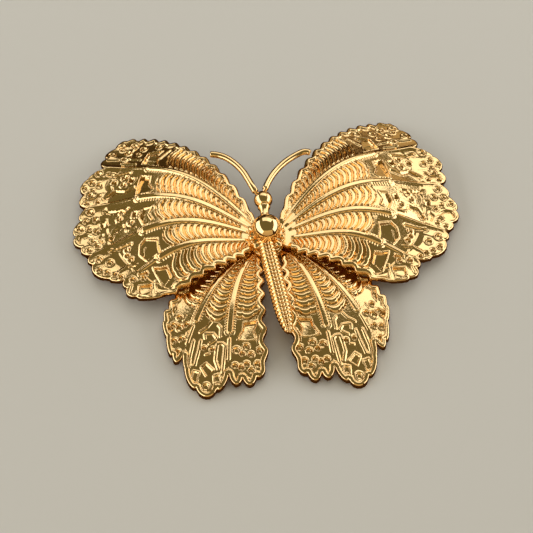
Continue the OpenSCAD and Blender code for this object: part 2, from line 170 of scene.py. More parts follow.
def addPiece(name, points, faces, material, nodes):
    mesh = bpy.data.meshes.new(name)
    mesh.from_pydata([tuple(p) for p in np.asarray(points) * mm], [], [tuple(f) for f in faces])
    mesh.validate()
    mesh.polygons.foreach_set("use_smooth", [True] * len(mesh.polygons))
    mesh.materials.append(material)
    piece = bpy.data.objects.new(name, mesh)
    bpy.context.scene.collection.objects.link(piece)
    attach(piece, "root")
    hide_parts(*nodes)


# Wings. Their surface follows the same veins and lobes as the solids, so they fill the
# same slots and reach the same margins.

cast = {
    "veinHeight": 0.4,
    "veinRadius": 0.48,
    "veinTop": 6,  # this and the other tops are the power of a ridge: 2 is round, 6 is flat
    "veinGrowth": 11,  # a vein starts half as wide, and is full this far along
    "barHeight": 0.2,  # plain bar between a vein's end and the margin
    "barHalf": 0.28,
    "barFrom": 0.04,  # beyond the vein's end, as a share of the whole way
    "barTo": 0.93,
    "veinPoints": 60,
    "barPoints": 10,
    "beadPitch": 0.42,
    "beadRadius": 0.16,
    "beadHeight": 0.12,
    "beadGap": 0.2,  # from the vein's foot to the middle of a bead
    "beadsFrom": [4, 6],  # they grow over this stretch of the vein
    "rimHeight": 0.32,
    "rimRadius": 0.38,
    "rimTop": 3,
    "rimFade": 0.15,  # the relief grows over this distance inside the rim
    "lineHeight": 0.1,  # thin line inside the rim
    "lineHalf": 0.12,
    "lineInset": 0.95,
    "lineEnd": [0.85, 0.9],  # where it fades out towards the margin
    "crescentHeight": 0.33,
    "crescentHalf": 0.34,  # as a share of their pitch
    "gapDepth": 0.2,  # how deep the valleys between them are cut
    "gapHalf": 0.16,
    "crescentsFrom": 0.13,  # share of the way out where they start
    "crescentSpread": 0.85,  # below 1: they get wider towards the margin
    "crescentBulge": 0.03,  # added to the curl that the surface gives them
    "crescentToVein": [0.1, 0.35],  # they fade over this distance from a vein
    "crescentToRim": [0.5, 0.8],  # and over this from the edge
    "lipHeight": 0.18,
    "lipRadius": 0.16,
    "ringLip": 0.6,  # height of a ring's, a bar's and a pit's edge, as shares of the lip
    "barLip": 1.2,
    "pitLip": 0.4,
    "pitLipRadius": 0.12,
    "pitDepth": 0.28,
    "bowlDepth": 0.4,
    "bowlRise": 0.5,  # how much shallower it is beside its wall
    "bowlWall": 0.14,
    "pocketDepth": 0.08,
    "pocketWall": 0.12,
    "turnFrom": 0.885,  # from here the margin turns up and lies flatter than the wing
    "curl": 0.03,  # bulge of the lines across a panel, as a share of the vein
    "scallop": 0.7,  # how far the bumps of the long edges stand out
    "scallopFade": 2.0,
    "leadPower": 1.2,  # power of a bump's sine: more makes it more pointed
    "trailPower": 2,
    "edgePoints": 260,  # on each long edge of the outline
    "marginPoints": 80,  # on the margin of each panel
    "fullLobe": 0.36,  # a lobe narrower than this share of its panel stands out less
    "lobeRound": 0.5,  # below 1: rounder than a sine
    "edgeBand": 0.25,  # share of the panel that the scallops move
    "borderBow": 0.2,  # the margin starts further in at the middle of a panel
    "marginStep": 0.012,  # share of the way over which it rises
    "plateau": 0.2,  # its height over the wing
    "marginEdge": 0.3,  # how wide its rounded outer edge is
    "marginFall": 0.1,  # and how far that falls below the wing
}

forewing = {
    "reach": 27.8,
    "arch": 2.0,  # rise half way out
    "drop": 4.4,  # fall at the margin
    "turn": 0.5,  # how far the margin turns up
    "rootWidth": 3.0,
    "rootY": 0.5,
    "rootZ": foreSlotZ + hub["fit"] + wingMetal,
    "veins": [  # angle, then reach, bow, skew, arch and drop as shares
        [47.5, 1.05, 0.29, 0.21, 0.30, 1.00],
        [34, 1.00, 0.21, 0.08, 0.90, 0.55],
        [19, 1.00, 0.20, -0.03, 0.95, 0.70],
        [2, 0.935, 0.21, -0.11, 0.95, 0.78],
        [-11, 0.775, 0.14, -0.02, 0.85, 0.62],
        [-25, 0.605, -0.07, -0.16, 0.65, 0.45]],
    "lobes": [  # valleys of each margin lobe: place across the panel, reach
        [[0, 0], [0.24, 0.03], [0.63, 0.035], [1, 0]],
        [[0, 0], [0.24, 0.075], [0.63, 0.045], [1, 0]],
        [[0, 0], [0.24, 0.035], [0.5, 0.065], [0.76, 0.04], [1, 0]],
        [[0, 0], [0.24, 0.03], [0.76, 0.045], [1, 0]],
        [[0, 0], [0.24, 0.045], [0.63, 0.09], [0.9, 0.06], [1, 0]]],
    "bump": 0.042,  # how far the lobes stand out, as a share of the reach
    # How far the floor of each panel's pockets falls outward and to the front, or below 0
    # inward and to the back, so that they catch the light as the real ones do
    "pocketFall": [[-0.4, -0.4], [0.3, 0.25], [0.3, -0.3], [-0.35, -0.4], [-0.35, -0.4]],
    "crescents": [16, 16, 15, 13, 13],
    "crescentTops": [2, 4, 4, 4, 4],  # round on the steep front panel, flat on the others
    "crescentsTo": [0.61, 0.61, 0.61, 0.61, 0.73],
    "crescentLean": [0, 0, 0, 0, 0.2],  # how much further out they lie at the back of the panel
    "leadScallops": 13,
    "trailScallops": 9,
    "veinEnd": 0.73,
    "border": 0.89,  # where the raised margin starts
    "rows": 310,
    "columns": 56,  # in each panel
    "stamps": [  # kind, radius or half width, then its places as u, v
        [["loop", 0.13, 0.67, 0.30, 0.68, 0.50, 0.66, 0.86, 0.76, 0.84, 0.74, 0.44, 0.71, 0.36],
            ["ring", 0.54, 0.80, 0.30], ["ring", 0.40, 0.80, 0.50], ["ring", 0.62, 0.88, 0.20],
            ["ring", 0.64, 0.96, 0.22], ["ring", 0.58, 0.87, 0.46], ["ring", 0.52, 0.96, 0.52],
            ["ring", 0.40, 0.92, 0.35], ["bar", 0.28, 0.78, 0.68, 0.84, 0.66],
            ["ring", 0.44, 0.88, 0.68], ["bar", 0.20, 0.91, 0.70, 0.97, 0.72],
            ["ring", 0.48, 0.72, 0.20], ["bar", 0.26, 0.74, 0.50, 0.75, 0.66],
            ["bar", 0.24, 0.64, 0.24, 0.66, 0.60], ["bar", 0.24, 0.80, 0.84, 0.88, 0.84]],
        [["loop", 0.13, 0.66, 0.28, 0.72, 0.24, 0.71, 0.50, 0.73, 0.90, 0.66, 0.84, 0.63, 0.72, 0.65, 0.52],
            ["loop", 0.12, 0.73, 0.32, 0.77, 0.29, 0.77, 0.45, 0.74, 0.47],
            ["ring", 0.52, 0.80, 0.28], ["ring", 0.48, 0.79, 0.49], ["ring", 0.44, 0.84, 0.40],
            ["pit", 0.34, 0.74, 0.62, 0.78, 0.73, 0.83, 0.67, 0.88, 0.82],
            ["pit", 0.30, 0.80, 0.14, 0.86, 0.21, 0.91, 0.17],
            ["ring", 0.58, 0.96, 0.16], ["ring", 0.54, 0.91, 0.44], ["ring", 0.48, 0.95, 0.36],
            ["ring", 0.48, 0.98, 0.47], ["ring", 0.48, 0.95, 0.58],
            ["pit", 0.26, 0.91, 0.70, 0.93, 0.80, 0.97, 0.78],
            ["ring", 0.44, 0.955, 0.69], ["ring", 0.46, 0.97, 0.90], ["ring", 0.40, 0.92, 0.90]],
        [["loop", 0.13, 0.62, 0.34, 0.67, 0.35, 0.69, 0.60, 0.70, 0.88, 0.64, 0.78, 0.64, 0.56],
            ["loop", 0.12, 0.69, 0.40, 0.72, 0.36, 0.73, 0.52, 0.70, 0.56],
            ["ring", 0.52, 0.78, 0.30], ["ring", 0.44, 0.79, 0.45], ["ring", 0.44, 0.74, 0.65],
            ["bar", 0.26, 0.74, 0.82, 0.78, 0.80],
            ["pit", 0.34, 0.78, 0.66, 0.82, 0.68, 0.86, 0.84],
            ["pit", 0.30, 0.77, 0.24, 0.83, 0.24, 0.88, 0.18],
            ["ring", 0.54, 0.95, 0.12], ["loop", 0.11, 0.85, 0.38, 0.88, 0.40, 0.88, 0.54, 0.85, 0.52],
            ["ring", 0.48, 0.91, 0.30], ["ring", 0.48, 0.96, 0.28], ["ring", 0.52, 0.97, 0.40],
            ["ring", 0.44, 0.90, 0.55], ["ring", 0.44, 0.93, 0.45],
            ["pit", 0.22, 0.88, 0.68, 0.90, 0.72, 0.90, 0.84],
            ["pit", 0.22, 0.92, 0.66, 0.94, 0.58, 0.97, 0.56, 0.98, 0.64],
            ["ring", 0.50, 0.95, 0.76], ["ring", 0.44, 0.97, 0.90], ["ring", 0.44, 0.93, 0.88]],
        [["loop", 0.13, 0.64, 0.42, 0.71, 0.27, 0.74, 0.38, 0.77, 0.63, 0.78, 0.88, 0.72, 0.86,
                0.69, 0.90, 0.66, 0.66],
            ["bar", 0.16, 0.72, 0.50, 0.76, 0.72],
            ["ring", 0.48, 0.81, 0.32], ["ring", 0.40, 0.82, 0.46], ["ring", 0.48, 0.82, 0.61],
            ["bar", 0.26, 0.83, 0.80, 0.87, 0.72, 0.92, 0.74, 0.95, 0.80],
            ["pit", 0.30, 0.79, 0.22, 0.84, 0.19, 0.89, 0.14],
            ["ring", 0.62, 0.96, 0.22], ["ring", 0.58, 0.91, 0.42], ["ring", 0.48, 0.96, 0.62],
            ["ring", 0.48, 0.97, 0.46], ["ring", 0.44, 0.97, 0.76], ["ring", 0.44, 0.96, 0.90]],
        [["loop", 0.15, 0.72, 0.32, 0.76, 0.26, 0.79, 0.14, 0.80, 0.36, 0.82, 0.56, 0.86, 0.76,
                0.80, 0.68, 0.77, 0.66],
            ["bar", 0.18, 0.83, 0.48, 0.88, 0.64, 0.93, 0.84],
            ["ring", 0.48, 0.88, 0.26], ["ring", 0.48, 0.93, 0.13],
            ["loop", 0.12, 0.83, 0.12, 0.89, 0.05, 0.89, 0.12, 0.84, 0.22],
            ["loop", 0.15, 0.86, 0.52, 0.92, 0.38, 0.98, 0.62, 0.97, 0.82],
            ["bar", 0.20, 0.96, 0.28, 0.98, 0.42]],
    ],
}

hindwing = {
    "reach": 22.3,
    "arch": 1.0,
    "drop": 1.8,
    "turn": 0.0,
    "rootWidth": 1.6,
    "rootY": -0.5,
    "rootZ": hindSlotZ + hub["fit"] + wingMetal,
    "veins": [
        [-38, 0.89, 0.24, 0.10, -0.60, 1.00],
        [-54, 1.00, 0.175, -0.14, 0.40, 1.00],
        [-73, 1.00, 0.18, -0.25, 0.55, 0.95],
        [-87, 0.875, 0.03, -0.28, 0.40, 1.00]],
    "lobes": [
        [[0, 0], [0.24, 0.05], [0.63, 0.07], [1, 0]],
        [[0, 0], [0.1, 0.06], [0.37, 0.12], [0.76, 0.085], [1, 0]],
        [[0, 0], [0.37, 0.03], [0.76, 0.045], [1, 0]]],
    "bump": 0.045,
    "pocketFall": [[0.2, 0.2], [0.1, 0.1], [-0.45, 0.0]],
    "crescents": [13, 13, 12],
    "crescentTops": [2, 2, 2],
    "crescentsTo": [0.69, 0.69, 0.69],
    "crescentLean": [0, 0, 0],
    "leadScallops": 9,
    "trailScallops": 8,
    "veinEnd": 0.79,
    "border": 1.2,  # no raised margin
    "rows": 290,
    "columns": 80,
    "stamps": [
        [["loop", 0.12, 0.76, 0.16, 0.83, 0.14, 0.84, 0.24, 0.78, 0.26],
            ["ring", 0.62, 0.84, 0.60], ["ring", 0.62, 0.92, 0.28], ["ring", 0.48, 0.92, 0.56],
            ["ring", 0.54, 0.98, 0.36], ["ring", 0.52, 0.95, 0.78], ["ring", 0.44, 0.98, 0.56],
            ["ring", 0.48, 0.88, 0.78], ["bar", 0.20, 0.84, 0.88, 0.88, 0.92], ["ring", 0.52, 0.86, 0.38],
            ["ring", 0.48, 0.80, 0.78], ["ring", 0.44, 0.79, 0.44], ["bar", 0.18, 0.76, 0.62, 0.79, 0.60]],
        [["bar", 0.24, 0.70, 0.44, 0.74, 0.36, 0.78, 0.22],
            ["bar", 0.24, 0.71, 0.66, 0.73, 0.74, 0.78, 0.76],
            ["bar", 0.24, 0.77, 0.66, 0.75, 0.56, 0.77, 0.34, 0.79, 0.38],
            ["bar", 0.20, 0.78, 0.64, 0.80, 0.50], ["ring", 0.40, 0.82, 0.60],
            ["ring", 0.40, 0.83, 0.40], ["bar", 0.20, 0.84, 0.54, 0.85, 0.46],
            ["bar", 0.26, 0.94, 0.86, 0.83, 0.90, 0.81, 0.82, 0.80, 0.70, 0.87, 0.69, 0.92, 0.77],
            ["bar", 0.26, 0.81, 0.29, 0.85, 0.30, 0.92, 0.28, 0.95, 0.18, 0.92, 0.15, 0.85, 0.13],
            ["loop", 0.16, 0.91, 0.68, 0.88, 0.50, 0.91, 0.41, 0.93, 0.54],
            ["loop", 0.16, 0.975, 0.86, 0.94, 0.80, 0.93, 0.68, 0.96, 0.70],
            ["ring", 0.62, 0.965, 0.55], ["loop", 0.16, 0.93, 0.40, 0.94, 0.27, 0.98, 0.26, 0.98, 0.38]],
        [["loop", 0.14, 0.71, 0.42, 0.75, 0.40, 0.80, 0.24, 0.80, 0.50, 0.82, 0.80, 0.76, 0.72, 0.72, 0.86],
            ["ring", 0.52, 0.83, 0.50], ["ring", 0.58, 0.85, 0.22], ["ring", 0.44, 0.88, 0.38],
            ["ring", 0.48, 0.87, 0.63], ["ring", 0.54, 0.88, 0.84], ["ring", 0.44, 0.91, 0.50],
            ["ring", 0.48, 0.94, 0.34], ["ring", 0.48, 0.92, 0.18], ["ring", 0.52, 0.94, 0.62],
            ["ring", 0.54, 0.94, 0.80], ["bar", 0.16, 0.965, 0.74, 0.98, 0.60, 0.97, 0.48]],
    ],
}


def fromHub(p):  # distance in plan beyond the flat border round the hub
    return np.hypot(p[..., 0] + hubX, p[..., 1]) - hub["radius"] - hub["flat"]


def veinPoint(wing, k, t):  # a bent line in plan that arches up, then falls towards its tip
    angle, reach, bow, skew, arch, drop = wing["veins"][k]
    length = reach * wing["reach"]
    along = np.array([math.cos(math.radians(angle)), math.sin(math.radians(angle))])
    across = np.array([-along[1], along[0]])
    root = np.array([hub["webHalf"] + hub["fit"],
        wing["rootY"] + wing["rootWidth"] * (0.5 - k / (len(wing["veins"]) - 1))])
    tip = root + along * length
    middle = (root + tip) / 2 + across * bow * length + along * skew * length
    t = np.asarray(t, float)[..., None]
    p = (1 - t) ** 2 * root + 2 * t * (1 - t) * middle + t * t * tip
    s = np.maximum(0, fromHub(p) / fromHub(tip))
    rise = (1 - np.cos(2 * math.pi * np.minimum(1, s))) / 2
    z = wing["rootZ"] + wing["arch"] * arch * rise - wing["drop"] * drop * s * s
    return np.concatenate([p, z[..., None]], -1)


def lobeReach(wing, k, v):  # how far the margin stands out at v, as a share of the reach
    valleys = np.array(wing["lobes"][k], float)
    i = np.clip(np.searchsorted(valleys[1:, 0], v), 0, len(valleys) - 2)
    width = valleys[i + 1, 0] - valleys[i, 0]
    s = np.clip((v - valleys[i, 0]) / width, 0, 1)
    bump = wing["bump"] * np.minimum(1, width / cast["fullLobe"])
    bump = bump * np.maximum(0, np.sin(math.pi * s)) ** cast["lobeRound"]
    return valleys[i, 1] + s * (valleys[i + 1, 1] - valleys[i, 1]) + bump


def edgeBump(count, t, p, power):  # round bumps along a long edge, none beside the hub
    grown = np.minimum(1, np.maximum(0, fromHub(p)) / cast["scallopFade"])
    return cast["scallop"] * np.abs(np.sin(math.pi * count * t)) ** power * grown


def smoothPoint(wing, k, u, v):  # u runs along the veins and v across panel k
    # The lobes only stand out near the margin, so they grow with the cube of u
    t = u + cast["curl"] * 4 * v * (1 - v) * np.sin(math.pi * u) + lobeReach(wing, k, v) * u ** 3
    a, b = veinPoint(wing, k, t), veinPoint(wing, k + 1, t)
    span = np.maximum(0.5, np.linalg.norm(b - a, axis=-1))
    s = v.copy()
    band = cast["edgeBand"]
    if k == 0:
        bump = edgeBump(wing["leadScallops"], t, a, cast["leadPower"])
        s -= bump * np.maximum(0, 1 - v / band) / span
    if k == len(wing["lobes"]) - 1:
        bump = edgeBump(wing["trailScallops"], t, b, cast["trailPower"])
        s += bump * np.maximum(0, 1 - (1 - v) / band) / span
    p = a * (1 - s[..., None]) + b * s[..., None]
    p[..., 2] += wing["turn"] * np.maximum(0, u - cast["turnFrom"]) / (1 - cast["turnFrom"])
    return p


def alongLine(points, line):  # distance to a line in plan, and how far along it
    best = np.full(points.shape[:-1], 1e9)
    place = np.zeros_like(best)
    start = 0.0
    for a, b in zip(line[:-1], line[1:]):
        step = b - a
        length = max(1e-9, float(np.hypot(*step)))
        q = np.clip((points - a) @ step / length ** 2, 0, 1)
        distance = np.hypot(*np.moveaxis(points - a - q[..., None] * step, -1, 0))
        nearer = distance < best
        best = np.where(nearer, distance, best)
        place = np.where(nearer, start + q * length, place)
        start += length
    return best, place


def insideOutline(points, corners):  # even-odd test in plan
    inside = np.zeros(points.shape[:-1], bool)
    for a, b in zip(corners, np.roll(corners, -1, axis=0)):
        crosses = (a[1] > points[..., 1]) != (b[1] > points[..., 1])
        x = a[0] + (points[..., 1] - a[1]) * (b[0] - a[0]) / (b[1] - a[1] + 1e-12)
        inside ^= crosses & (points[..., 0] < x)
    return inside


def veinRelief(line, bar, plan):  # its height, and how far each point lies from its foot
    distance, place = alongLine(plan, line)
    radius = cast["veinRadius"] * (0.5 + 0.5 * ramp(0, cast["veinGrowth"], place))
    height = cast["veinHeight"] * radius / cast["veinRadius"] * ridge(distance, radius, cast["veinTop"])
    height = np.maximum(height, cast["barHeight"] * ridge(alongLine(plan, bar)[0], cast["barHalf"]))
    # One bead every beadPitch along both sides of the vein
    q = (place / cast["beadPitch"]) % 1 - 0.5
    bead = ridge(np.hypot(distance - radius - cast["beadGap"], q * cast["beadPitch"]), cast["beadRadius"])
    bead = cast["beadHeight"] * bead * ramp(*cast["beadsFrom"], place)
    return np.maximum(height, bead), distance - radius


def crescentRelief(wing, k, u, v, clear):  # raised arcs across a panel, with valleys between them
    curved = u + cast["crescentBulge"] * (1 - ridge(2 * v - 1, 1)) - wing["crescentLean"][k] * (v - 0.5)
    s = (curved - cast["crescentsFrom"]) / (wing["crescentsTo"][k] - cast["crescentsFrom"])
    phase = wing["crescents"][k] * np.clip(s, 0, 1) ** cast["crescentSpread"]
    q = phase % 1 - 0.5
    broad = cast["crescentHeight"] * ridge(q, cast["crescentHalf"], wing["crescentTops"][k])
    gap = cast["gapDepth"] * ridge(np.abs(q) - 0.5, cast["gapHalf"])
    return (broad - gap) * clear * (s > 0) * (s < 1)


def stampRelief(wing, k, stamp, u, v, plan):  # a ring round a bowl, a loop round a pocket, a bar or a pit
    kind, size = stamp[:2]
    uv = np.array(stamp[2:]).reshape(-1, 2)
    line = smoothPoint(wing, k, uv[:, 0], uv[:, 1])[:, :2]
    if kind == "ring":
        distance = np.hypot(*np.moveaxis(plan - line[0], -1, 0))
        lip = cast["ringLip"] * cast["lipHeight"] * ridge(distance - size, cast["lipRadius"])
        bowl = 1 - cast["bowlRise"] * np.minimum(1, distance / size) ** 2
        return lip - cast["bowlDepth"] * bowl * ramp(0, cast["bowlWall"], size - distance)
    if kind == "loop":
        distance = alongLine(plan, np.concatenate([line, line[:1]]))[0]
        outward = np.clip((u - uv[:, 0].min()) / np.ptp(uv[:, 0]), 0, 1)
        toFront = np.clip((uv[:, 1].max() - v) / np.ptp(uv[:, 1]), 0, 1)
        floor = cast["pocketDepth"]
        for fall, share in zip(wing["pocketFall"][k], (outward, toFront)):
            floor = floor + max(0, -fall) + fall * share
        floor = floor * ramp(0, cast["pocketWall"], distance) * insideOutline(plan, line)
        return cast["lipHeight"] * ridge(distance, size) - floor
    distance = alongLine(plan, line)[0]
    if kind == "bar":
        return cast["barLip"] * cast["lipHeight"] * ridge(distance, size)
    lip = cast["pitLip"] * cast["lipHeight"] * ridge(distance - size, cast["pitLipRadius"])
    return lip - cast["pitDepth"] * ridge(distance, size)


def panelRelief(wing, k, u, v, plan, outline):  # height of the pattern over the smooth wing
    panels = len(wing["lobes"])
    height = np.zeros_like(u)
    clear = np.ones_like(u)
    for side in (0, 1):
        if 0 < k + side < panels:
            veinPlace = np.linspace(0, wing["veinEnd"], cast["veinPoints"])
            line = veinPoint(wing, k + side, veinPlace)[:, :2]
            barPlace = np.linspace(wing["veinEnd"] + cast["barFrom"], cast["barTo"], cast["barPoints"])
            bar = veinPoint(wing, k + side, barPlace)[:, :2]
            vein, gap = veinRelief(line, bar, plan)
            height = np.maximum(height, vein)
            clear *= ramp(*cast["crescentToVein"], gap)
    outer = alongLine(plan, outline)[0]
    height += crescentRelief(wing, k, u, v, clear * ramp(*cast["crescentToRim"], outer))
    border = wing["border"] - cast["borderBow"] * v * (1 - v)
    onMargin = ramp(0, cast["marginStep"], u - border)
    height = height * (1 - onMargin) + cast["plateau"] * onMargin
    for stamp in wing["stamps"][k]:
        height += stampRelief(wing, k, stamp, u, v, plan)
    # Along the long edges the rim is a round wire with a thin line inside it. The
    # margin has none: its plate ends in a rounded edge.
    rim = cast["rimHeight"] * ridge(outer - cast["rimRadius"], cast["rimRadius"], cast["rimTop"])
    inside = outer - 2 * cast["rimRadius"]
    wired = np.where(inside < 0, rim, height * ramp(0, cast["rimFade"], inside))
    edge = ridge(np.maximum(0, cast["marginEdge"] - outer), cast["marginEdge"])
    plate = height - (cast["plateau"] + cast["marginFall"]) * (1 - edge)
    height = wired * (1 - onMargin) + plate * onMargin
    if k in (0, panels - 1):
        line = cast["lineHeight"] * ridge(outer - cast["lineInset"], cast["lineHalf"])
        height += line * (1 - ramp(*cast["lineEnd"], u))
    # Nothing rises under the hub, where the slot holds the plain metal
    return height * np.clip((fromHub(plan) + hub["flat"] - hub["fadeFrom"]) / hub["fade"], 0, 1)


def wingPoints(wing):  # a grid on the patterned top, and the same on the smooth underside
    panels = len(wing["lobes"])
    plainRows = 20  # between the hub and the first crescent
    rowShare = np.concatenate([np.linspace(0, cast["crescentsFrom"], plainRows + 1)[:-1],
        np.linspace(cast["crescentsFrom"], 1, wing["rows"] + 1)])
    edge = np.linspace(0, 1, cast["edgePoints"])
    lead = smoothPoint(wing, 0, edge, np.zeros_like(edge))[:, :2]
    trail = smoothPoint(wing, panels - 1, edge, np.ones_like(edge))[::-1, :2]
    across = np.linspace(0, 1, cast["marginPoints"])
    margin = np.concatenate([smoothPoint(wing, k, np.ones_like(across), across)[:, :2]
        for k in range(panels)])
    top, base = [], []
    for k in range(panels):
        columns = wing["columns"] + (k == panels - 1)
        u, v = np.meshgrid(rowShare, np.arange(columns) / wing["columns"], indexing="ij")
        p = smoothPoint(wing, k, u, v)
        outline = np.concatenate([lead[:0 if k else None], margin, trail[:None if k == panels - 1 else 0]])
        base.append(p - [0, 0, wingMetal])
        top.append(p + panelRelief(wing, k, u, v, p[..., :2], outline)[..., None] * [0, 0, 1])
    return np.concatenate(top, 1), np.concatenate(base, 1)


def shell(top, base, step):  # closed solid: fine grid above, every step-th point below
    base = base[::step, ::step]
    rows, columns = top.shape[0] - 1, top.shape[1] - 1
    backRows, backColumns = base.shape[0] - 1, base.shape[1] - 1
    t = np.arange((rows + 1) * (columns + 1)).reshape(rows + 1, columns + 1)
    b = t.size + np.arange((backRows + 1) * (backColumns + 1)).reshape(backRows + 1, backColumns + 1)
    faces = np.stack([t[:-1, :-1], t[1:, :-1], t[1:, 1:], t[:-1, 1:]], -1).reshape(-1, 4).tolist()
    faces += np.stack([b[:-1, :-1], b[:-1, 1:], b[1:, 1:], b[1:, :-1]], -1).reshape(-1, 4).tolist()
    borders = [[t[:, 0], b[:, 0]], [t[-1, :], b[-1, :]],
        [t[::-1, -1], b[::-1, -1]], [t[0, ::-1], b[0, ::-1]]]
    for upper, lower in borders:
        for j in range(len(lower) - 1):
            run = upper[j * step:(j + 1) * step + 1].tolist()
            faces.append([*run[::-1], int(lower[j]), int(lower[j + 1])])
    return np.concatenate([top.reshape(-1, 3), base.reshape(-1, 3)]), faces


backStep = 5  # the plain back needs only every fifth point
for wing, name in ((forewing, "forewing"), (hindwing, "hindwing")):
    top, base = wingPoints(wing)
    points, faces = shell(top, base, backStep)
    points = points + lift
    addPiece(name + "RightRelief", points, faces, castGold, [name + "_right"])
    mirrored = points * [-1, 1, 1]
    flipped = [f[::-1] for f in faces]
    addPiece(name + "LeftRelief", mirrored, flipped, castGold, [name + "_left"])
    print(name, "pair made,", len(faces), "faces each")


def loft(rings):  # skin over rings of equal count, with a flat cap at each end
    rings = np.asarray(rings, float)
    rows, sides = rings.shape[:2]
    n = np.arange(rows * sides).reshape(rows, sides)
    after = np.roll(n, -1, axis=1)
    faces = np.stack([n[:-1], after[:-1], after[1:], n[1:]], -1).reshape(-1, 4).tolist()
    faces += [n[0, ::-1].tolist(), n[-1].tolist()]
    return rings.reshape(-1, 3), faces


def lathe(profile, sides):  # profile rows are radius, height
    turn = np.arange(sides) * 2 * math.pi / sides
    return loft([[(r * math.cos(a), r * math.sin(a), z) for a in turn] for r, z in profile])


def sphere(radius, sides, squash=(1, 1, 1)):  # its poles are tiny flat caps
    arc = np.linspace(-math.pi / 2 + 0.03, math.pi / 2 - 0.03, sides // 2)
    points, faces = lathe([(radius * math.cos(a), radius * math.sin(a)) for a in arc], sides)
    return points * squash, faces


def turned(points, axis, degrees):
    spin = Matrix.Rotation(math.radians(degrees), 3, axis)
    return points @ np.array(spin).T


def joined(parts):  # several meshes as one
    points, faces, count = [], [], 0
    for p, f in parts:
        points.append(p)
        faces += [[i + count for i in face] for face in f]
        count += len(p)
    return np.concatenate(points), faces


# Polished ball with its peg
ball = {"radius": 2.2, "sink": 0.85, "pegRadius": 0.5, "pegLength": 1.4, "sides": 128, "rings": 90}
ballZ = hubTop + ball["radius"] - ball["sink"]
start = math.asin(ball["pegRadius"] / ball["radius"]) - math.pi / 2
arc = np.linspace(start, math.pi / 2 - 0.01, ball["rings"])
pegEnd = -ball["radius"] - ball["pegLength"] + hub["fit"]
profile = [(ball["pegRadius"], pegEnd)]
profile += [(ball["radius"] * math.cos(a), ball["radius"] * math.sin(a)) for a in arc]
points, faces = lathe(profile, ball["sides"])
points = points + hubCentre + [0, 0, ballZ] + lift
addPiece("thoraxBall", points, faces, mirrorGold, ["thorax_ball"])


# Hub: flange, web, divider and cap around the wing slots, with the stud below
def disc(low, high, edge):
    r = hub["radius"]
    return lathe([(r - edge, low), (r, low + edge), (r, high - edge), (r - edge, high)], hub["sides"])


def web(low, high):  # the wall between the left and the right slot
    x = np.linspace(-hub["webHalf"], hub["webHalf"], 20)
    y = np.sqrt(hub["radius"] ** 2 - (x - hubX) ** 2) - 0.02  # a little inside the discs
    ring = np.concatenate([np.stack([x, -y], -1), np.stack([x[::-1], y[::-1]], -1)])
    points, faces = loft([[(px, py, z) for px, py in ring] for z in (low, high)])
    return points - hubCentre, faces


claws = {
    "angles": [20, 62, 118, 160, 200, 340],
    "shape": (1.15, 0.8, 1.1),  # stretch of a ball along, across and up
    "leaves": [232, 308],  # two long ones beside the abdomen's root
    "leafShape": (1.7, 1.0, 0.9),
    "leafShift": 0.1,  # further out and lower than the others
    "radius": 0.5,
    "sides": 24,
    "beads": 26,
    "beadRadius": 0.24,
    "beadInset": 0.7,  # share of its radius that lies inside the hub's edge
    "beadLift": 0.02,
    "firstBead": 5,  # degrees
    "beadSides": 16,
}
joint = 0.05  # the webs reach this far into the discs
hubParts = [
    disc(0, hindSlotZ, hub["edge"]),
    web(hindSlotZ - joint, foreSlotZ + joint - hub["divider"]),
    disc(foreSlotZ - hub["divider"], foreSlotZ, hub["edge"]),
    web(foreSlotZ - joint, capZ + joint),
    disc(capZ, hubTop, hub["capEdge"]),
    lathe([(hub["stud"], -hub["stud"]), (hub["stud"], hub["studRoot"])], hub["sides"] // 2)]
clawPlace = hub["radius"] - claws["radius"]
for angle in claws["angles"]:
    points, faces = sphere(claws["radius"], claws["sides"], claws["shape"])
    hubParts.append((turned(points + [clawPlace, 0, hubTop], "Z", angle), faces))
for angle in claws["leaves"]:
    points, faces = sphere(claws["radius"], claws["sides"], claws["leafShape"])
    place = [clawPlace + claws["leafShift"], 0, hubTop - claws["leafShift"]]
    hubParts.append((turned(points + place, "Z", angle), faces))
beadPlace = [hub["radius"] - claws["beadRadius"] * claws["beadInset"], 0, hubTop + claws["beadLift"]]
for i in range(claws["beads"]):
    points, faces = sphere(claws["beadRadius"], claws["beadSides"])
    angle = i * 360 / claws["beads"] + claws["firstBead"]
    hubParts.append((turned(points + beadPlace, "Z", angle), faces))
points, faces = joined(hubParts)
addPiece("bodyHub", points + hubCentre + lift, faces, bodyGold, ["body"])
print("ball and hub made")


# Neck and head along +Y
head = {
    "radius": 1.42,
    "reach": 6.4,
    "neckRadius": 0.68,
    "neckRise": 1.3,  # of its middle over the cap's foot, in neck radii
    "sides": 80,
    "neckSides": 64,
    "neck": [  # share of the reach, share of the neck's radius: a waist, then a collar
        [0.30, 1.45], [0.38, 1.38], [0.43, 1.2], [0.50, 1.03], [0.58, 0.95], [0.66, 0.98],
        [0.71, 1.08], [0.735, 1.3], [0.76, 1.42], [0.785, 1.42], [0.81, 1.3], [0.84, 1.0]],
}
headZ = capZ + head["neckRadius"] * head["neckRise"] + hub["fit"]
profile = [(head["neckRadius"] * r, head["reach"] * s) for s, r in head["neck"]]
points, faces = lathe(profile, head["neckSides"])
points = turned(points, "X", -90)
addPiece("bodyNeck", points + hubCentre + [0, 0, headZ] + lift, faces, bodyGold, ["body"])
headPlace = hubCentre + [0, head["reach"], headZ]
points, faces = sphere(head["radius"], head["sides"])
addPiece("bodyHead", points + headPlace + lift, faces, bodyGold, ["body"])


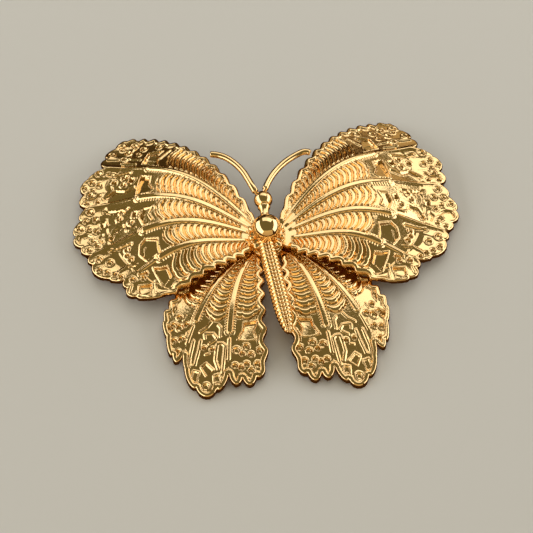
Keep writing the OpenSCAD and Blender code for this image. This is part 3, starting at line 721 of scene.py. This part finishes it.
# Abdomen: a ribbed spindle with a groove on top and a flat belly
abdomen = {
    "length": 17.4,
    "radius": 1.35,
    "ribs": 24,
    "ribsFrom": 0.67,  # where they start, as a share of the hub's radius
    "ribHeight": 0.26,
    "ribHalf": 0.44,  # as a share of their pitch
    "ribSlant": 0.2,  # the ribs lean back from the groove
    "groove": 0.42,
    "grooveHalf": 0.2,  # as an angle round the abdomen, in radians
    "belly": 0.75,  # its flat belly lies this far under its middle
    "lean": 8,  # degrees to the right
    "slope": 5,  # degrees down towards the tail
    "side": 0.5,  # how far its root lies to the left
    "rootShare": 0.86,  # its radius at the root, as a share of the largest
    "tipFrom": 0.72,  # share of the length where it starts to close
    "tipLength": 0.3,
    "tipRadius": 0.02,
    "rows": 420,
    "sides": 72,
}


def abdomenShape(s):  # its radius along the length, as a share of the largest
    tip = np.maximum(0, s - abdomen["tipFrom"]) / abdomen["tipLength"]
    return np.minimum(1, abdomen["rootShare"] + s / 2) * np.sqrt(np.clip(1 - tip ** 2, 0, 1))


def abdomenRings():
    s, turn = np.meshgrid(np.linspace(0, 1, abdomen["rows"]),
        np.arange(abdomen["sides"]) * 2 * math.pi / abdomen["sides"], indexing="ij")
    fromTop = np.abs((turn + math.pi) % (2 * math.pi) - math.pi)  # 0 on top, pi below
    ribStart = abdomen["ribsFrom"] * hub["radius"] / abdomen["length"]
    phase = (s - ribStart) / (1 - ribStart) * abdomen["ribs"] + abdomen["ribSlant"] * np.cos(fromTop)
    rib = ridge(phase % 1 - 0.5, abdomen["ribHalf"])
    radius = abdomen["radius"] * abdomenShape(s)
    radius -= abdomen["ribHeight"] * (1 - rib) * np.minimum(1, radius)
    radius -= abdomen["groove"] * np.exp(-(fromTop / abdomen["grooveHalf"]) ** 2) * np.minimum(1, radius)
    radius = np.maximum(radius, abdomen["tipRadius"])
    x, y = radius * np.sin(turn), np.maximum(radius * np.cos(turn), -abdomen["belly"])
    return np.stack([x, y, s * abdomen["length"]], -1)


points, faces = loft(abdomenRings())
points = turned(turned(points, "X", 90 + abdomen["slope"]), "Z", abdomen["lean"])
points = points + hubCentre + [-abdomen["side"], 0, capZ + abdomen["belly"] + hub["fit"]]
addPiece("bodyAbdomen", points + lift, [f[::-1] for f in faces], bodyGold, ["body"])
print("neck, head and abdomen made")


# Antennae: drawn wire that enters the head, then bends outward
wire = {
    "radius": 0.5,
    "pegRadius": 0.28,
    "pegDepth": 0.62,
    "seat": 0.35,  # its shoulder starts this far outside the head
    "length": 10.6,
    "lift": 18,  # degrees up the head where it enters
    "step": 3,  # degrees of bend between rings
    "sides": 32,
}
antennae = {  # place round the head, heading, then share of the length and turn of each stretch
    "left": [45, 21, [[0.3, 0], [0.42, 27], [0.28, 36]]],
    "right": [12, 23, [[0.05, 0], [0.83, 43], [0.12, 55]]],
}


def antennaMesh(side):
    place, heading, stretches = antennae[side]
    r = wire["radius"]
    # Each station is x, y, heading and radius: first the peg, then a small bevel at the shoulder
    stations = [(0.0, -wire["pegDepth"], 0, wire["pegRadius"]), (0.0, wire["seat"], 0, wire["pegRadius"]),
        (0.0, wire["seat"], 0, r * 0.8), (0.0, wire["seat"] + r / 4, 0, r)]
    x, y, h = stations[-1][:3]
    for share, turn in stretches:
        steps = max(2, math.ceil(turn / wire["step"]))
        for i in range(steps):
            middle = math.radians(h + turn / steps / 2)
            x += math.sin(middle) * wire["length"] * share / steps
            y += math.cos(middle) * wire["length"] * share / steps
            h += turn / steps
            stations.append((x, y, h, r))
    # The cut end is rounded off over a third of the radius
    end = math.radians(h)
    for reach, share in ((0.18, 0.95), (0.3, 0.85), (0.35, 0.7)):
        stations.append((x + math.sin(end) * r * reach, y + math.cos(end) * r * reach, h, r * share))
    rings = []
    for x, y, h, radius in stations:
        aside = np.array([math.cos(math.radians(h)), -math.sin(math.radians(h)), 0])
        turn = np.arange(wire["sides"]) * 2 * math.pi / wire["sides"]
        rings.append([np.array([x, y, 0]) + radius * (math.cos(a) * aside + np.array([0, 0, math.sin(a)]))
            for a in turn])
    points, faces = loft(rings)
    around, up = math.radians(place), math.radians(wire["lift"])
    entry = [math.cos(up) * math.sin(around), math.cos(up) * math.cos(around), math.sin(up)]
    points = turned(points, "Z", -heading) + head["radius"] * np.array(entry)
    if side == "left":
        points, faces = points * [-1, 1, 1], [f[::-1] for f in faces]
    return points + headPlace + lift, faces


for side in ("left", "right"):
    points, faces = antennaMesh(side)
    name = "antennaWire" + side.capitalize()
    addPiece(name, points, faces, wireGold, ["antenna_" + side])


# Pin finding: back bar round the stud, two blocks and the pin wire between them
pin = {
    "length": 26.0,
    "wireRadius": 0.35,
    "barWidth": 3.0,
    "barThick": 0.8,
    "block": 2.4,
    "offset": 4.0,  # from the bar's middle line to the wire
    "edge": 0.06,  # small bevel on the bar and the blocks
    "sides": 32,
}


def block(low, high):
    (x0, y0, z0), (x1, y1, z1) = low, high
    edge = pin["edge"]

    def ring(z, inset):
        return [(x0 + inset, y0 + inset, z), (x1 - inset, y0 + inset, z), (x1 - inset, y1 - inset, z),
            (x0 + inset, y1 - inset, z)]
    return loft([ring(z0, edge), ring(z0 + edge, 0), ring(z1 - edge, 0), ring(z1, edge)])


barTop = -hub["fit"]
half = pin["length"] / 2
pinParts = [block((-half, -pin["barWidth"] / 2, -pin["barThick"]), (half, pin["barWidth"] / 2, barTop))]
for x in (-half, half - pin["block"]):
    pinParts.append(block((x, -pin["barWidth"] / 2, -pin["barThick"]),
        (x + pin["block"], pin["offset"] + 2 * pin["wireRadius"], barTop)))
profile = [(pin["wireRadius"], 0), (pin["wireRadius"], pin["length"] - pin["block"])]
points, faces = lathe(profile, pin["sides"])
wirePlace = [-half + pin["block"] / 2, pin["offset"], -(pin["barThick"] + hub["fit"]) / 2]
pinParts.append((turned(points, "Y", 90) + wirePlace, faces))
points, faces = joined(pinParts)
addPiece("pinFinding", points + lift, faces, findingGold, ["pin_finding"])
print("antennae and pin finding made")


# Floor, lights and camera
studio = {
    "floorColour": "#D8D5CF",
    "floorRough": 0.9,
    "floorHalf": 1.5,  # metres
    "overhead": "#6B6546",  # dim olive ceiling, which the flats of the gold show
    "horizon": "#2E1C0C",  # dark room around it
    "below": "#40280F",  # warm light that the table gives back to the undersides
    "overheadFrom": 0.05,  # the ceiling starts to show at this height, where 1 is straight up
    "overheadTo": 0.5,  # and from here on it is all that shows
    "belowTo": -0.2,  # the same for the light from below, which starts at 0
    "white": "#FFFFFF",
    "warm": "#FFE2B0",
}

# One wide bank high behind the brooch, brighter in its east half, a low box on each side and
# a dim warm glow behind and in front. The fill is for the floor, and the gold doesn't show it.
# Azimuth 0 is in front, and 90 is at the right. The distance is in metres, and the box's
# shifts and size are shares of it.
softboxes = {
    "bankNorth": {"radiance": 1.1, "colour": "white", "azimuth": 165, "elevation": 45,
        "distance": 0.45, "aside": 0.35, "above": 0.05, "width": 0.6, "height": 0.64},
    "bankEast": {"radiance": 1.35, "colour": "white", "azimuth": 165, "elevation": 45,
        "distance": 0.45, "aside": -0.22, "above": 0.05, "width": 0.54, "height": 0.64},
    "boxEast": {"radiance": 2.0, "colour": "white", "azimuth": 95, "elevation": 18,
        "distance": 0.5, "aside": 0, "above": 0, "width": 1.6, "height": 0.6},
    "boxWest": {"radiance": 1.9, "colour": "white", "azimuth": -84, "elevation": 20,
        "distance": 0.5, "aside": 0, "above": 0, "width": 2.2, "height": 0.66},
    "glowNorth": {"radiance": 0.36, "colour": "warm", "azimuth": 158, "elevation": 15,
        "distance": 0.5, "aside": 0, "above": 0, "width": 0.75, "height": 0.28},
    "glowSouth": {"radiance": 0.5, "colour": "warm", "azimuth": 0, "elevation": 14,
        "distance": 0.6, "aside": 0, "above": 0, "width": 1.8, "height": 0.8},
    "fillAbove": {"radiance": 0.5, "colour": "white", "azimuth": 0, "elevation": 89,
        "distance": 0.8, "aside": 0, "above": 0, "width": 1.0, "height": 1.0, "seen": False},
}


def addFloor():
    mesh = bpy.data.meshes.new("paleFloor")
    half = studio["floorHalf"]
    corners = [(-half, -half, 0), (half, -half, 0), (half, half, 0), (-half, half, 0)]
    mesh.from_pydata(corners, [], [(0, 1, 2, 3)])
    floor = bpy.data.objects.new("paleFloor", mesh)
    bpy.context.scene.collection.objects.link(floor)
    # Uncoated paper roll: even and without shine
    material = bpy.data.materials.new("matteBackgroundPaper")
    material.use_nodes = True
    tree = material.node_tree
    shader = tree.nodes["Principled BSDF"]
    shader.inputs["Base Color"].default_value = linear(studio["floorColour"])
    shader.inputs["Roughness"].default_value = studio["floorRough"]
    mesh.materials.append(material)
    floor.visible_glossy = False  # the gold shows the dark room instead, which keeps its edges deep


def towards(azimuth, elevation):  # unit vector from the brooch
    a, e = math.radians(azimuth), math.radians(elevation)
    return Vector((math.sin(a) * math.cos(e), -math.cos(a) * math.cos(e), math.sin(e)))


def addSoftbox(name, look):
    light = bpy.data.lights.new(name, "AREA")
    light.shape = "RECTANGLE"
    light.size, light.size_y = look["width"] * look["distance"], look["height"] * look["distance"]
    light.energy = look["radiance"] * math.pi * light.size * light.size_y
    light.color = linear(studio[look["colour"]])[:3]
    box = bpy.data.objects.new(name, light)
    away = towards(look["azimuth"], look["elevation"])
    facing = away.to_track_quat("Z", "Y")
    box.location = (away + facing @ Vector((look["aside"], look["above"], 0))) * look["distance"]
    box.rotation_euler = facing.to_euler()
    box.visible_camera = False
    box.visible_glossy = look.get("seen", True)
    bpy.context.scene.collection.objects.link(box)


def addRoom():  # dim room: olive overhead, darker and browner towards the horizon
    world = bpy.data.worlds.new("studioWorld")
    bpy.context.scene.world = world
    world.use_nodes = True
    tree = world.node_tree
    place = addNode(tree, "ShaderNodeTexCoord")
    axes = addNode(tree, "ShaderNodeSeparateXYZ", links={"Vector": place.outputs["Generated"]})
    above = addNode(tree, "ShaderNodeMapRange",
        inputs={"From Min": studio["overheadFrom"], "From Max": studio["overheadTo"]},
        links={"Value": axes.outputs["Z"]})
    sky = addNode(tree, "ShaderNodeMix", settings={"data_type": "RGBA"},
        links={"Factor": above.outputs["Result"]})
    sky.inputs["A"].default_value = linear(studio["horizon"])
    sky.inputs["B"].default_value = linear(studio["overhead"])
    below = addNode(tree, "ShaderNodeMapRange",
        inputs={"From Min": 0.0, "From Max": studio["belowTo"]},
        links={"Value": axes.outputs["Z"]})
    room = addNode(tree, "ShaderNodeMix", settings={"data_type": "RGBA"},
        links={"Factor": below.outputs["Result"]})
    tree.links.new(sky.outputs["Result"], room.inputs["A"])
    room.inputs["B"].default_value = linear(studio["below"])
    tree.links.new(room.outputs["Result"], tree.nodes["Background"].inputs["Color"])


addFloor()
addRoom()
for name, look in softboxes.items():
    addSoftbox(name, look)

photoView = {
    "azimuth": -4.81,
    "elevation": 55.5,
    "distance": 320.0,
    "target": (-0.61, -1.57, 0.0),
    "lens": 139.7,
    "sensor": 36.0,
    "near": 0.01,  # metres
}
camera = bpy.data.objects.new("camera", bpy.data.cameras.new("camera"))
back = towards(photoView["azimuth"], photoView["elevation"])
camera.location = (Vector(photoView["target"]) + back * photoView["distance"]) * mm
camera.rotation_euler = back.to_track_quat("Z", "Y").to_euler()
camera.data.sensor_width = photoView["sensor"]
camera.data.lens = photoView["lens"]
camera.data.clip_start = photoView["near"]
bpy.context.scene.collection.objects.link(camera)
bpy.context.scene.camera = camera
bpy.context.scene.view_settings.view_transform = "Standard"
print("studio and camera made")
